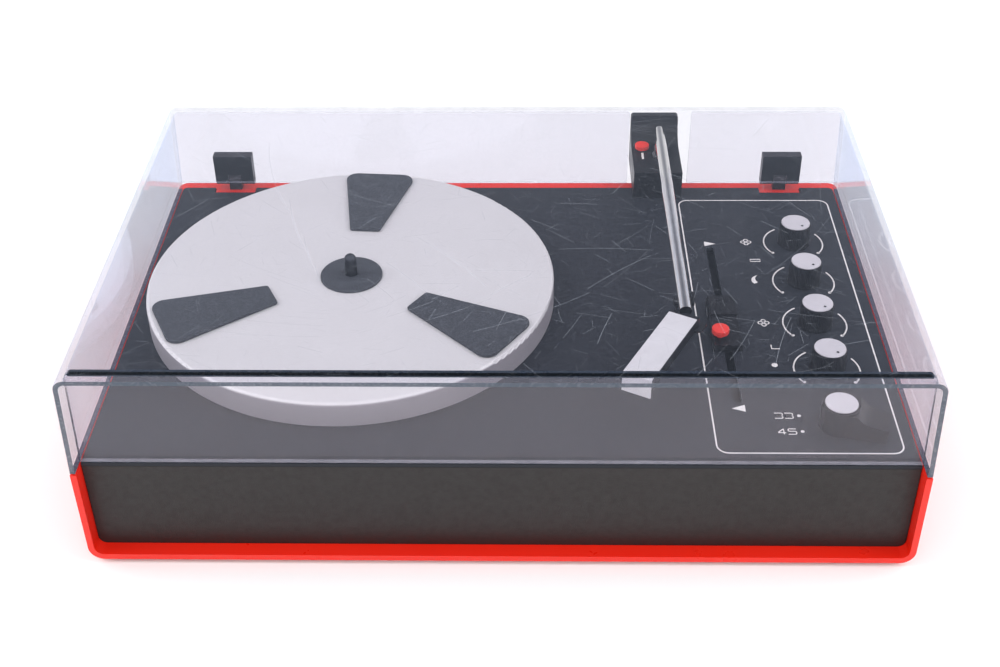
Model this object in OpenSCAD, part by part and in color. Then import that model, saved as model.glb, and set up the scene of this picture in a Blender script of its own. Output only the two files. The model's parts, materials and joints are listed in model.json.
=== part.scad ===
// Compact stereo record player: moulded tray, black front panel, dark deck plate, clear hinged lid,
// rim-driven platter, straight tonearm on a rear block, cue slider, four rotary controls, speed lever.
// Heights are measured from the underside of the tray, depths from its front edge, widths from the
// centre line. at_origin() moves everything so that the origin is under the middle of the whole part.

/* [Tray] */
// Outer width of the tray
tray_w = 434; // [430:1:440]
// Depth of the tray, front edge to back of the rear wall
tray_d = 289; // [286:1:292]
// Height of the tray's side walls
tray_h = 59.2; // [57:0.2:59.2]
// Thickness of the tray's walls
tray_wall = 3.3; // [2.5:0.1:3.3]
// Thickness of the tray's floor
floor_t = 3.5; // [2.5:0.1:4]
// Outer radius of the tray's long bottom corners
tray_corner_r = 8; // [6:0.5:10]
// Outer radius of the tray's upright rear corners
rear_corner_r = 6; // [5:0.5:8]
// Height of the rubber feet
foot_h = 2.5; // [2:0.5:4]

/* [Deck] */
// Height of the deck plate's top face
deck_z = 60.3; // [60.3:0.1:60.6]
// Thickness of the deck plate
deck_t = 2; // [1.5:0.1:2]
// Distance from the tray's front edge back to the front panel
panel_setback = 8.5; // [7:0.5:8.5]

/* [Lid] */
// Width across the lid's top, outside
lid_top_w = 430; // [428:1:431]
// Depth of the lid
lid_d = 280; // [280:0.5:280.5]
// Height of the lid's top face
lid_top_z = 120.2; // [116:0.2:122]
// Height of the lid's lower edges
lid_low_z = 60.2; // [60:0.1:60.4]
// Thickness of the clear sheet
sheet_t = 3; // [2.5:0.1:3]
// Outer bend radius between the top and the sides
bend_r = 6; // [5:0.5:8]
// Angle by which each side spreads outwards towards its lower edge
lid_flare = 2; // [1.5:0.1:2.1]

/* [Platter] */
// Distance of the spindle left of the centre line
spindle_left = 88.5; // [86:0.5:90]
// Distance of the spindle behind the tray's front edge
spindle_back = 155; // [153:0.5:156]
// Radius of the platter
platter_r = 118; // [117:0.5:118.5]
// Height of the platter's top face
platter_z = 76; // [76:0.1:76.2]
// Height of the platter's rim
platter_rim_h = 15; // [12:0.5:15]
// Radius of the record spindle
spindle_r = 3.55; // [3.5:0.01:3.6]

/* [Tonearm] */
// Distance of the arm's upright pivot right of the centre line
pivot_right = 100.4; // [99:0.1:101]
// Distance of the arm's upright pivot behind the tray's front edge
pivot_back = 290; // [289:0.5:291]
// Height of the arm tube's axis
tube_z = 89; // [89:0.1:89.5]
// Radius of the arm tube
tube_r = 3.7; // [3:0.1:3.7]
// Angle between the headshell and the arm tube
head_angle = 27.8; // [24:0.1:30]

/* [Controls] */
// Distance of the column of rotary controls right of the centre line
knob_right = 178.3; // [176:0.1:180]
// Radius of a rotary control
knob_r = 9.2; // [8.5:0.1:9.6]
// Height of a rotary control's top above the deck
knob_h = 15.2; // [13:0.1:18]

/* [Hidden] */
$fn = 64;

eps = 0.01;
total_d = 320;
deck_under = deck_z - deck_t;
deck_half_w = tray_w / 2 - tray_wall - 0.3;
deck_back = tray_d - 8;
spindle_at = [-spindle_left, spindle_back];

// Lid hinge
hinge_x = 178.7;
hinge_y = 283.5;
hinge_z = 65.5;
hinge_block_w = 25;
hinge_block_top = 84;
hinge_half_d = 3.3;
hinge_pin_r = 1.25;
lug_w = 8;
pane_back = 280;
pane_low_z = 66;
notch_left = 78.5;
notch_right = 117.5;

// Platter and its bearing
shaft_r = 4;
hub_low = 64;
cap_r = 18;
cap_t = 1.6;
pad_t = 2.2;
spindle_low = 30;
spindle_top = 91;

// Drive
rim_inner_r = platter_r - 2.5;
tyre_r = 17;
tyre_gap = 0.2;
idler_angle = -35;
idler_at = spindle_at + (rim_inner_r - tyre_r - tyre_gap) * [cos(idler_angle), sin(idler_angle)];
pulley_slow_r = 2.57;
pulley_fast_r = 3.47;
pulley_angle = idler_angle + 115;
pulley_at = idler_at + (tyre_r + pulley_slow_r + tyre_gap) * [cos(pulley_angle), sin(pulley_angle)];
lever_len = 35;
lever_angle = idler_angle + 147.5;
lever_at = idler_at + lever_len * [cos(lever_angle), sin(lever_angle)];
lever_z = 62.2;
lever_t = 1.6;
tyre_z = 66.6;
tyre_t = 3;

// Tonearm
block_left = 82.5;
block_w = 31;
block_front = 268;
block_top = 79;
upright_top = 95;
lip_t = 4.5;
scoop_r = 16;
tube_back = 308.7;
tube_front = 101.5;
lift_z = 83.5;
pivot_at = [pivot_right, pivot_back];
head_at = [98.3, 95.2];
head_len = 60.4;
head_w = 16.4;
head_top = 90.6;
head_t = 6.5;
plate_t = 0.6;
cartridge_low = 80.3;
dial_at = [89.2, 299.4];

// Controls
knob_pitch = 42.4;
knob_backs = [for (i = [0:3]) 214.5 - i * knob_pitch];
stem_r = 3;
stem_gap = 0.06;
stem_low = 47;
switch_low = 44;
lever_pivot = [176.2, 39.5];
lever_rest = -16.4;
slot_x = 126.3;
slot_front = 60.8;
slot_back = 210;
slot_w = 4.6;
slider_y = 131;
button_at = [122, 111.6];

tray_colour = "#d8392a";
black = "#1d1b1d";
charcoal = "#3d3c41";
clear = [0.86, 0.86, 0.92, 0.3];
silver = "#c9c6c8";
white = "#e8e4e2";
steel = "#a9a9ac";

module at_origin() translate([0, -total_d / 2, foot_h]) children();
// Extrudes an x-z outline along the depth, from y0 to y1
module along_depth(y0, y1) translate([0, y1, 0]) rotate([90, 0, 0]) linear_extrude(y1 - y0) children();
// Extrudes a y-z outline along the width, from x0 to x1
module along_width(x0, x1) translate([x0, 0, 0]) rotate([90, 0, 90]) linear_extrude(x1 - x0) children();
module box(x0, x1, y0, y1, z0, z1) translate([x0, y0, z0]) cube([x1 - x0, y1 - y0, z1 - z0]);
module post(at, r, z0, z1) translate([at[0], at[1], z0]) cylinder(h = z1 - z0, r = r);
module at_left_and_right() for (side = [-1, 1]) translate([side * hinge_x, 0, 0]) children();

// Cross-section of the tray from the front, grown inwards by inset, up to height top
module tray_outline(inset, low, top) {
  half = tray_w / 2 - inset;
  r = tray_corner_r - inset;
  translate([-half, low + r]) square([2 * half, top - low - r]);
  translate([-half + r, low]) square([2 * (half - r), r + eps]);
  for (side = [-1, 1]) translate([side * (half - r), low + r]) circle(r = r);
}

// Plan of a slab with rounded rear corners
module rear_rounded(half, y0, y1, r) {
  translate([-half, y0]) square([2 * half, y1 - y0 - r]);
  translate([-half + r, y1 - r - eps]) square([2 * (half - r), r + eps]);
  for (side = [-1, 1]) translate([side * (half - r), y1 - r]) circle(r = r);
}

// The rear wall carries a ledge along its top, with a wider pad under each hinge
ledge_d = 4.3;
ledge_low = 54;
hinge_pad_half_w = 13;
hinge_pad_d = 10;
module base_tray() color(tray_colour) at_origin() {
  difference() {
    intersection() {
      along_depth(0, tray_d) tray_outline(0, 0, tray_h);
      linear_extrude(tray_h) rear_rounded(tray_w / 2, 0, tray_d, rear_corner_r);
    }
    intersection() {
      along_depth(-1, tray_d - tray_wall) tray_outline(tray_wall, floor_t, tray_h + 1);
      translate([0, 0, floor_t]) linear_extrude(tray_h)
        rear_rounded(tray_w / 2 - tray_wall, -1, tray_d - tray_wall, rear_corner_r - tray_wall);
    }
    connector_window();
    at_rear_screws(tray_d) translate([0, 0, -6]) cylinder(h = 7, r = 1.5);
  }
  rear_wall = tray_d - tray_wall;
  box(-tray_w / 2 + tray_wall, tray_w / 2 - tray_wall, rear_wall - ledge_d, rear_wall, ledge_low, tray_h);
  at_left_and_right() box(-hinge_pad_half_w, hinge_pad_half_w, rear_wall - hinge_pad_d, rear_wall,
                          ledge_low, tray_h);
}

// Window in the rear wall behind the connectors
window_x0 = -190;
window_x1 = -70;
window_z0 = 16;
window_z1 = 44;
module connector_window()
  box(window_x0, window_x1, tray_d - tray_wall - 1, tray_d + 1, window_z0, window_z1);

module front_panel() color(black) at_origin()
  along_depth(panel_setback, panel_setback + 2) tray_outline(tray_wall + 0.2, floor_t, deck_under - 0.1);

module deck_plate() color(charcoal) at_origin() difference() {
  translate([0, 0, deck_under]) linear_extrude(deck_t)
    rear_rounded(deck_half_w, panel_setback, deck_back, 3);
  at_left_and_right() box(-hinge_pad_half_w - 0.4, hinge_pad_half_w + 0.4, deck_back - 6, deck_back + 1,
                          deck_under - 1, deck_z + 1);
  post(spindle_at, 8.6, deck_under - 1, deck_z + 1);
  post(pulley_at, 6, deck_under - 1, deck_z + 1);
  post(lever_at, 2.55, deck_under - 1, deck_z + 1);
  for (back = knob_backs) post([knob_right, back], stem_r + 0.5, deck_under - 1, deck_z + 1);
  post(lever_pivot, stem_r + 0.5, deck_under - 1, deck_z + 1);
  box(slot_x - slot_w / 2, slot_x + slot_w / 2, slot_front, slot_back - slot_w / 2, deck_under - 1, deck_z + 1);
  post([slot_x, slot_back - slot_w / 2], slot_w / 2, deck_under - 1, deck_z + 1);
  post([slot_x, slot_front], slot_w / 2, deck_under - 1, deck_z + 1);
  for (at = pillars) post(at, 1.6, deck_under - 1, deck_z + 1);
}

pillars = [for (a = [45:90:315]) spindle_at + 62 * [cos(a), sin(a)]];
edge_pillars = [[60, 20], [205, 20], [205, 270], [-205, 270], [-205, 20], [60, 265]];
module deck_pillars() color(tray_colour) at_origin() {
  for (at = pillars) difference() {
    post(at, 4, floor_t, deck_under);
    post(at, 1.5, deck_under - 14, deck_under + 1);
  }
  for (at = edge_pillars) post(at, 4, floor_t, deck_under);
}

// Places its child on the back of the tray at depth y, turned so that +Z points rearwards
module at_rear_screws(y) {
  for (x = plate_screw_xs) translate([x, y, socket_z]) rotate([-90, 0, 0]) children();
  for (x = bracket_screw_xs) translate([x, y, bracket_screw_z]) rotate([-90, 0, 0]) children();
}

// Slotted screw with the underside of its head at z = 0
module screw() difference() {
  union() {
    translate([0, 0, -11]) cylinder(h = 11, r = 1.5);
    cylinder(h = 0.9, r = 2.9);
  }
  translate([0, 0, 0.9]) cube([3.6, 0.7, 1], center = true);
}

module screws() color(steel) at_origin() {
  for (at = pillars) translate([at[0], at[1], deck_z]) screw();
  for (x = plate_screw_xs) translate([x, tray_d + plate_depth, socket_z]) rotate([-90, 0, 0]) screw();
  for (x = bracket_screw_xs) translate([x, tray_d + 3, bracket_screw_z]) rotate([-90, 0, 0]) screw();
}

module rubber_feet() color(black) at_origin()
  for (x = [-190, 190]) for (y = [26, 262]) difference() {
    post([x, y], 9, -foot_h, 0);
    translate([x, y, -foot_h]) cylinder(h = 0.6, r = 4);
  }

// Connectors on the rear wall
socket_z = 30;
socket_xs = [-170, -145, -120];
socket_r = 7.2;
inlet_x = -90;
plate_depth = 1.6;
plate_screw_xs = [-194, -66];
bracket_screw_xs = [93, 103];
bracket_screw_z = 35;
module connector_plate() color(black) at_origin() difference() {
  box(window_x0 - 8, window_x1 + 8, tray_d, tray_d + plate_depth, window_z0 - 4, window_z1 + 4);
  for (x = plate_screw_xs) translate([x, tray_d - 1, socket_z]) rotate([-90, 0, 0]) cylinder(h = 4, r = 1.5);
  for (x = socket_xs) translate([x, tray_d + 2, socket_z]) rotate([90, 0, 0]) cylinder(h = 4, r = 9.05);
  box(inlet_x - 10, inlet_x + 10, tray_d - 1, tray_d + 2, socket_z - 7, socket_z + 7);
}

// Round five-pin sockets: a blind recess whose floor has the pin holes
module din_sockets() color(silver) at_origin()
  for (x = socket_xs) translate([x, tray_d + 2.2, socket_z]) rotate([90, 0, 0]) difference() {
    union() {
      cylinder(h = 13, r = 9);
      cylinder(h = 0.6, r = 10.5);
    }
    translate([0, 0, -1]) cylinder(h = 10, r = socket_r);
    for (a = [0:45:180]) rotate([0, 0, a]) translate([4.3, 0, 8]) cylinder(h = 6, r = 0.75);
  }

module mains_inlet() color(black) at_origin() {
  difference() {
    box(inlet_x - 9.9, inlet_x + 9.9, tray_d - 12, tray_d + 2.2, socket_z - 6.9, socket_z + 6.9);
    box(inlet_x - 8, inlet_x + 8, tray_d - 9, tray_d + 3, socket_z - 4.6, socket_z + 4.6);
  }
  for (side = [-1, 1]) translate([inlet_x + side * 4.3, tray_d - 9, socket_z]) rotate([-90, 0, 0])
    cylinder(h = 8, r = 1.2);
}

// Hinge: a lug on each tray pad, a pin through it, and a block glued to the lid's rear pane
module hinge_lugs() color(black) at_origin() at_left_and_right()
along_width(-lug_w / 2, lug_w / 2) difference() {
  union() {
    translate([hinge_y - 3.2, tray_h]) square([5.4, hinge_z - tray_h]);
    translate([hinge_y, hinge_z]) circle(r = 3.2);
  }
  translate([hinge_y, hinge_z]) circle(r = hinge_pin_r);
}

module hinge_pins() color(steel) at_origin() at_left_and_right()
  translate([-12, hinge_y, hinge_z]) rotate([0, 90, 0]) cylinder(h = 24, r = hinge_pin_r);

module hinge_block(side) color(black) at_origin() translate([side * hinge_x, 0, 0]) difference() {
  along_width(-hinge_block_w / 2, hinge_block_w / 2) difference() {
    union() {
      translate([pane_back, hinge_z]) square([hinge_y + hinge_half_d - pane_back, hinge_block_top - hinge_z]);
      translate([hinge_y, hinge_z]) circle(r = hinge_half_d);
    }
    translate([hinge_y, hinge_z]) circle(r = hinge_pin_r + 0.05);
  }
  box(-lug_w / 2 - 0.4, lug_w / 2 + 0.4, hinge_y - 10, hinge_y + 10, hinge_z - 10, hinge_z + 4.6);
}
module hinge_block_left() hinge_block(-1);
module hinge_block_right() hinge_block(1);

// Cross-section of the lid from the front, grown inwards by inset, down to height low
module lid_outline(inset, low) {
  r = bend_r - inset;
  cx = lid_top_w / 2 - bend_r;
  cz = lid_top_z - bend_r;
  tx = cx + r * cos(lid_flare);
  tz = cz + r * sin(lid_flare);
  low_x = tx + (tz - low) * tan(lid_flare);
  polygon([[-low_x, low], [low_x, low], [tx, tz], [cx, cz + r], [-cx, cz + r], [-tx, tz]]);
  for (side = [-1, 1]) translate([side * cx, cz]) circle(r = r);
}

module lid_shell() color(clear) at_origin() difference() {
  along_depth(0, lid_d) lid_outline(0, lid_low_z);
  along_depth(-1, lid_d + 1) lid_outline(sheet_t, lid_low_z - 5);
}

module lid_front_pane() color(clear) at_origin()
  along_depth(panel_setback, panel_setback + sheet_t) lid_outline(sheet_t, deck_z + 0.6);

module rear_pane(x0, x1) color(clear) at_origin() intersection() {
  along_depth(pane_back - sheet_t, pane_back) lid_outline(sheet_t, pane_low_z);
  box(x0, x1, pane_back - 10, pane_back + 10, 0, lid_top_z);
}
module lid_rear_pane_left() rear_pane(-tray_w / 2, notch_left);
module lid_rear_pane_right() rear_pane(notch_right, tray_w / 2);

// Platter: a dish with a rolled edge and a hub
module platter() color(silver) at_origin() translate([spindle_at[0], spindle_at[1], 0])
  rotate_extrude($fn = 180) {
    translate([shaft_r, platter_z - 2.5]) square([platter_r - 2 - shaft_r, 2.5]);
    translate([platter_r - 2.5, platter_z - platter_rim_h]) square([2.5, platter_rim_h - 2]);
    translate([platter_r - 2, platter_z - 2]) circle(r = 2);
    translate([shaft_r, hub_low]) square([12 - shaft_r, platter_z - 2 - hub_low]);
  }

// Three raised rubber wedges on the platter
module pad() hull() {
  for (side = [-1, 1]) translate([49.5, side * 7.6, 0]) cylinder(h = pad_t, r = 1.8, $fn = 24);
  for (side = [-1, 1]) translate([107, side * 14.2, 0]) cylinder(h = pad_t, r = 7, $fn = 40);
}
module platter_pads() color(black) at_origin()
  translate([spindle_at[0], spindle_at[1], platter_z]) for (a = [86, 206, 326]) rotate([0, 0, a]) pad();

module centre_cap() color(black) at_origin() translate([spindle_at[0], spindle_at[1], platter_z])
  rotate_extrude() {
    translate([shaft_r, 0]) square([cap_r - 0.8 - shaft_r, cap_t]);
    translate([cap_r - 0.8 - eps, 0]) square([0.8 + eps, cap_t - 0.8]);
    translate([cap_r - 0.8, cap_t - 0.8]) circle(r = 0.8);
  }

// Thick shaft up to the cap's top, then the pin that a record goes over
module spindle() color(steel) at_origin() {
  post(spindle_at, shaft_r, spindle_low, platter_z + cap_t);
  post(spindle_at, spindle_r, platter_z + cap_t - eps, spindle_top - spindle_r);
  translate([spindle_at[0], spindle_at[1], spindle_top - spindle_r]) sphere(r = spindle_r);
}

module bearing_housing() color("#b08d57") at_origin() difference() {
  union() {
    post(spindle_at, 8.5, spindle_low - 4, 62);
    post(spindle_at, 15, deck_under - 3, deck_under);
  }
  post(spindle_at, shaft_r + 0.05, spindle_low - 0.3, 70);
}

// Motor, its stepped pulley and the rubber-tyred wheel that drives the rim
motor_arms = [30, 150, 270];
motor_arm_r = 32;
module motor() color(steel) at_origin() difference() {
  union() {
    post(pulley_at, 28, 18, 46);
    post(pulley_at, 8, 46, 50);
    for (a = motor_arms) translate([pulley_at[0], pulley_at[1], 44]) rotate([0, 0, a])
      translate([0, -5, 0]) cube([36, 10, 1.5]);
  }
  post(pulley_at, 1.55, 30, 52);
  for (a = motor_arms) post(pulley_at + motor_arm_r * [cos(a), sin(a)], 2.6, 40, 50);
}

module motor_mounts() color(black) at_origin() for (a = motor_arms) {
  at = pulley_at + motor_arm_r * [cos(a), sin(a)];
  post(at, 2.55, 43, 46.5);
  post(at, 3.8, 45.5, deck_under);
  post(at, 3.8, 41.5, 44);
}

module motor_pulley() color("#b08d57") at_origin() {
  post(pulley_at, 1.5, 31, 60);
  post(pulley_at, 4.4, 60, 61);
  post(pulley_at, pulley_fast_r, 61, 65.6);
  post(pulley_at, pulley_slow_r, 65.6, 71.5);
}

module idler_arm() color(steel) at_origin() {
  difference() {
    union() {
      translate([lever_at[0], lever_at[1], lever_z]) rotate([0, 0, lever_angle + 180])
        translate([-9, -3.5, 0]) cube([lever_len + 9, 7, lever_t]);
      post(idler_at, 3.5, lever_z, lever_z + lever_t);
    }
    post(idler_at, 1.5, lever_z - 1, lever_z + 4);
  }
  post(lever_at, 2.5, 50, lever_z);
  post(idler_at, 1.5, lever_z, tyre_z + 5);
}

module idler_wheel() color(steel) at_origin() difference() {
  union() {
    post(idler_at, 14, tyre_z + 0.8, tyre_z + 2.2);
    post(idler_at, 4, tyre_z - 2, tyre_z + 4.4);
  }
  post(idler_at, 1.56, tyre_z - 4, tyre_z + 8);
}

module idler_tyre() color(black) at_origin() difference() {
  post(idler_at, tyre_r, tyre_z, tyre_z + tyre_t);
  post(idler_at, 13, tyre_z + 2.2, tyre_z + tyre_t + 1);
  post(idler_at, 13, tyre_z - 1, tyre_z + 0.8);
  post(idler_at, 14, tyre_z + 0.8 - eps, tyre_z + 2.2 + eps);
}

// Tonearm: a fixed block that reaches over the rear wall and curves up into a lip at its back
module arm_block() color(black) at_origin() difference() {
  intersection() {
    along_width(block_left, block_left + block_w) difference() {
      translate([block_front, deck_z]) square([total_d - block_front, upright_top - deck_z]);
      translate([block_front - 1, block_top]) square([total_d - lip_t - scoop_r - block_front + 1, 30]);
      translate([total_d - lip_t - scoop_r, block_top + scoop_r]) circle(r = scoop_r, $fn = 96);
      translate([block_front - 1, block_top + scoop_r]) square([total_d - lip_t - block_front + 1, 30]);
    }
    along_depth(block_front - 1, total_d + 1) {
      translate([block_left, deck_z]) square([block_w, upright_top - deck_z - 2]);
      translate([block_left + 2, deck_z]) square([block_w - 4, upright_top - deck_z]);
      for (x = [block_left + 2, block_left + block_w - 2]) translate([x, upright_top - 2]) circle(r = 2);
    }
  }
  post(pivot_at, 2.06, deck_z - 1, block_top + 1);
  post(dial_at, 1.6, block_top - 8, block_top + 1);
}

module arm_bracket() color(steel) at_origin() difference() {
  union() {
    box(88, 108, tray_d, tray_d + 3, 26, deck_z);
    box(88, 108, tray_d, 316, deck_z - 3, deck_z);
  }
  post(pivot_at, 3, deck_z - 4, deck_z + 1);
  for (x = bracket_screw_xs) translate([x, tray_d - 1, bracket_screw_z]) rotate([-90, 0, 0])
    cylinder(h = 5, r = 1.5);
}

// Turning fork under the tube; its shaft runs down through the block
module arm_yoke() color(steel) at_origin() difference() {
  union() {
    post(pivot_at, 2, deck_z + 0.3, block_top + 1);
    post(pivot_at, 5, block_top + 0.3, block_top + 1.7);
    for (side = [-1, 1]) translate([pivot_right + side * 3, pivot_back, (block_top + 0.6 + 85.2) / 2])
      cube([1.2, 6, 85.2 - block_top - 0.6], center = true);
  }
  translate([pivot_right - 5, pivot_back, lift_z]) rotate([0, 90, 0]) cylinder(h = 10, r = 0.95);
}

module arm_saddle() color(steel) at_origin() {
  difference() {
    box(pivot_right - 2.1, pivot_right + 2.1, pivot_back - 4, pivot_back + 4, 82, 87);
    translate([pivot_right, pivot_back + 10, tube_z]) rotate([90, 0, 0]) cylinder(h = 20, r = tube_r);
  }
  translate([pivot_right - 3.6, pivot_back, lift_z]) rotate([0, 90, 0]) cylinder(h = 7.2, r = 0.9);
}

module arm_tube() color(silver) at_origin() difference() {
  union() {
    translate([pivot_right, tube_back - tube_r, tube_z]) rotate([90, 0, 0])
      cylinder(h = tube_back - tube_r - tube_front, r = tube_r);
    translate([pivot_right, tube_back - tube_r, tube_z]) sphere(r = tube_r);
  }
  translate([pivot_right, tube_back - 5, tube_z]) rotate([90, 0, 0]) cylinder(h = 300, r = tube_r - 0.7);
}

module counterweight() color("#b08d57") at_origin()
  translate([pivot_right, tube_back - 5, tube_z]) rotate([90, 0, 0]) cylinder(h = 9, r = tube_r - 0.7);

// Headshell, turned inwards from the tube; x runs along it towards the front
module along_head() translate([head_at[0], head_at[1], 0]) rotate([0, 0, -90 - head_angle]) children();

module headshell() color(black) at_origin() difference() {
  along_head() box(-3.4, head_len - 0.8, -head_w / 2 - 0.2, head_w / 2 + 0.2, head_top - head_t, head_top);
  along_head() box(6, head_len - 8, -head_w / 2 + 1.4, head_w / 2 - 1.4, head_top - head_t - 1, head_top - 1.6);
  translate([pivot_right, tube_front + 38.5, tube_z]) rotate([90, 0, 0]) cylinder(h = 42, r = tube_r);
}

module headshell_plate() color(white) at_origin() along_head() {
  box(0, head_len, -head_w / 2, head_w / 2, head_top, head_top + plate_t);
  box(head_len - 0.8, head_len, -head_w / 2, head_w / 2, 79.3, head_top + plate_t);
}

module finger_lift() color(black) at_origin() along_head()
  translate([0, 0, head_top - head_t]) linear_extrude(1.4)
    polygon([[-3.4, 8.4], [3, 8.4], [1.4, 11.8], [-6.6, 11.8], [-6, 8.4]]);

module cartridge() color(charcoal) at_origin() along_head()
  box(head_len - 29, head_len - 8.3, -6.5, 6.5, cartridge_low, head_top - 1.6);

module stylus() color(steel) at_origin() along_head() {
  box(head_len - 22, head_len - 11, -2.5, 2.5, cartridge_low - 0.8, cartridge_low);
  translate([head_len - 12, 0, cartridge_low - 1.6]) cylinder(h = 0.9, r1 = 0.15, r2 = 0.5);
}

rest_y = 118;
module arm_rest() color(black) at_origin() {
  post([pivot_right, rest_y], 3.6, deck_z, 83.2);
  box(pivot_right - 5, pivot_right + 6.4, rest_y - 3, rest_y + 3, 83.2, tube_z - tube_r - 0.3);
  box(pivot_right + tube_r + 0.4, pivot_right + 6.4, rest_y - 3, rest_y + 3, 83.2, tube_z);
}

module force_dial() color(tray_colour) at_origin() difference() {
  union() {
    post(dial_at, 1.54, block_top - 7, block_top + 2);
    post(dial_at, 4.6, block_top + 0.9, block_top + 3.3);
  }
  translate([dial_at[0], dial_at[1] - 3.2, block_top + 3.3]) cube([0.8, 2.4, 0.6], center = true);
}

// Cue slider with its push button, and the channel under the slot in which the slider's collar runs
guide_half_w = 7.2;
guide_wall = 1.2;
module cue_guide() color(black) at_origin() difference() {
  box(slot_x - guide_half_w, slot_x + guide_half_w, slot_front - 8, slot_back + 6, deck_under - 7, deck_under);
  box(slot_x - guide_half_w + guide_wall, slot_x + guide_half_w - guide_wall,
      slot_front - 8 + guide_wall, slot_back + 6 - guide_wall, deck_under - 7 + guide_wall, deck_under + 1);
}

module cue_slider() color(black) at_origin() difference() {
  union() {
    box(slot_x - 8.4, slot_x + 7.6, slider_y - 28, slider_y + 18, deck_z + 0.3, deck_z + 4.6);
    box(slot_x - 7.6, slot_x + 7.6, slider_y, slider_y + 18, deck_z + 1, deck_z + 6);
    post([slot_x, slider_y], 2, deck_under - 3.5, deck_z + 2);
    post([slot_x, slider_y], 5, deck_under - 4.5, deck_under - 0.4);
  }
  post(button_at, 1.6, deck_z, deck_z + 9);
}

module cue_button() color(tray_colour) at_origin() {
  post(button_at, 1.54, deck_z + 2, deck_z + 8);
  post(button_at, 4.9, deck_z + 7.2, deck_z + 10.5);
}

// Rotary controls: a dark skirt with a stem, and a pale cap let into its top
disc_t = 2;
cap_proud = 0.4;
cap_gap = 0.1;
module knob(index) {
  at = [knob_right, knob_backs[index]];
  color(black) at_origin() {
    post(at, stem_r, stem_low, deck_z + 1);
    difference() {
      translate([at[0], at[1], deck_z + 0.6])
        cylinder(h = knob_h - 0.6 - cap_proud, r1 = knob_r + 0.5, r2 = knob_r);
      post(at, knob_r - 0.6 + cap_gap, deck_z + knob_h - disc_t, deck_z + knob_h);
    }
  }
}
module knob_cap(index) color(white) at_origin()
  post([knob_right, knob_backs[index]], knob_r - 0.6, deck_z + knob_h - disc_t, deck_z + knob_h);
module volume_knob() knob(3);
module balance_knob() knob(2);
module bass_knob() knob(1);
module treble_knob() knob(0);
module volume_cap() knob_cap(3);
module balance_cap() knob_cap(2);
module bass_cap() knob_cap(1);
module treble_cap() knob_cap(0);

module potentiometers() color(steel) at_origin() for (back = knob_backs) difference() {
  post([knob_right, back], 9, switch_low, deck_under);
  post([knob_right, back], stem_r + stem_gap, stem_low - 1, deck_z);
}

lever_cap_r = 8.5;
lever_h = 16;
module speed_lever() color(black) at_origin() {
  post(lever_pivot, stem_r, stem_low, deck_z + 1);
  difference() {
    union() {
      post(lever_pivot, 10, deck_z + 0.6, deck_z + lever_h - cap_proud);
      translate([lever_pivot[0], lever_pivot[1], deck_z + 0.6]) rotate([0, 0, lever_rest]) lever_arm();
    }
    post(lever_pivot, lever_cap_r + cap_gap, deck_z + lever_h - disc_t, deck_z + lever_h);
  }
}

// Tapering in plan, and sloping down from the boss
module lever_arm() intersection() {
  linear_extrude(lever_h) polygon([[0, -9.4], [25.5, -7.6], [25.5, 7.6], [0, 9.4]]);
  along_depth(-10, 10) polygon([[0, 0], [25.5, 0], [25.5, 8], [16, 9.2], [12.4, 10.8], [9.4, 14], [0, 14]]);
}

module speed_cap() color(white) at_origin()
  post(lever_pivot, lever_cap_r, deck_z + lever_h - disc_t, deck_z + lever_h);

module speed_switch() color(steel) at_origin() difference() {
  translate(lever_pivot) box(-13, 13, -13, 13, switch_low, deck_under);
  post(lever_pivot, stem_r + stem_gap, stem_low - 1, deck_z);
}

// Amplifier and power supply under the deck
board_z = 14;
module amplifier_board() color("#4a6b3c") at_origin() {
  box(62, 196, 66, 236, board_z, board_z + 1.6);
  for (x = [68, 190]) for (y = [72, 230]) post([x, y], 3, floor_t, board_z);
}

module board_parts() color("#3a4a78") at_origin() {
  for (i = [0:3]) post([84 + 26 * i, 220], 6.5, board_z + 1.6, board_z + 22);
  for (i = [0:4]) box(78 + 22 * i, 90 + 22 * i, 150, 154, board_z + 1.6, board_z + 14);
  for (i = [0:5]) post([80 + 18 * i, 100], 3, board_z + 1.6, board_z + 13);
}

module heat_sink() color(steel) at_origin() {
  box(-58, 58, 256, 259, floor_t, 44);
  for (i = [0:9]) box(-56 + 12 * i, -54 + 12 * i, 259, 276, floor_t, 44);
}

// Laminated core with two windows, and the winding round its middle leg
module transformer() color("#6f6f73") at_origin() translate([-170, 220, floor_t]) {
  difference() {
    box(-27, 27, -18, 18, 0, 42.5);
    for (side = [-1, 1]) translate([side * 11, 0, 21.25]) cube([12, 38, 24.5], center = true);
  }
  difference() {
    box(-16.5, 16.5, -26, 26, 9.5, 33);
    box(-5, 5, -27, 27, 9, 33.5);
  }
}

base_tray();
front_panel();
deck_plate();
deck_pillars();
screws();
rubber_feet();
connector_plate();
din_sockets();
mains_inlet();
hinge_lugs();
hinge_pins();
hinge_block_left();
hinge_block_right();
lid_shell();
lid_front_pane();
lid_rear_pane_left();
lid_rear_pane_right();
platter();
platter_pads();
centre_cap();
spindle();
bearing_housing();
motor();
motor_mounts();
motor_pulley();
idler_arm();
idler_wheel();
idler_tyre();
arm_block();
arm_bracket();
arm_yoke();
arm_saddle();
arm_tube();
counterweight();
headshell();
headshell_plate();
finger_lift();
cartridge();
stylus();
arm_rest();
force_dial();
cue_guide();
cue_slider();
cue_button();
volume_knob();
balance_knob();
bass_knob();
treble_knob();
volume_cap();
balance_cap();
bass_cap();
treble_cap();
potentiometers();
speed_lever();
speed_cap();
speed_switch();
amplifier_board();
board_parts();
heat_sink();
transformer();
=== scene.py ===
import json
import math

import bmesh
import bpy
from mathutils import Matrix, Vector

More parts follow.
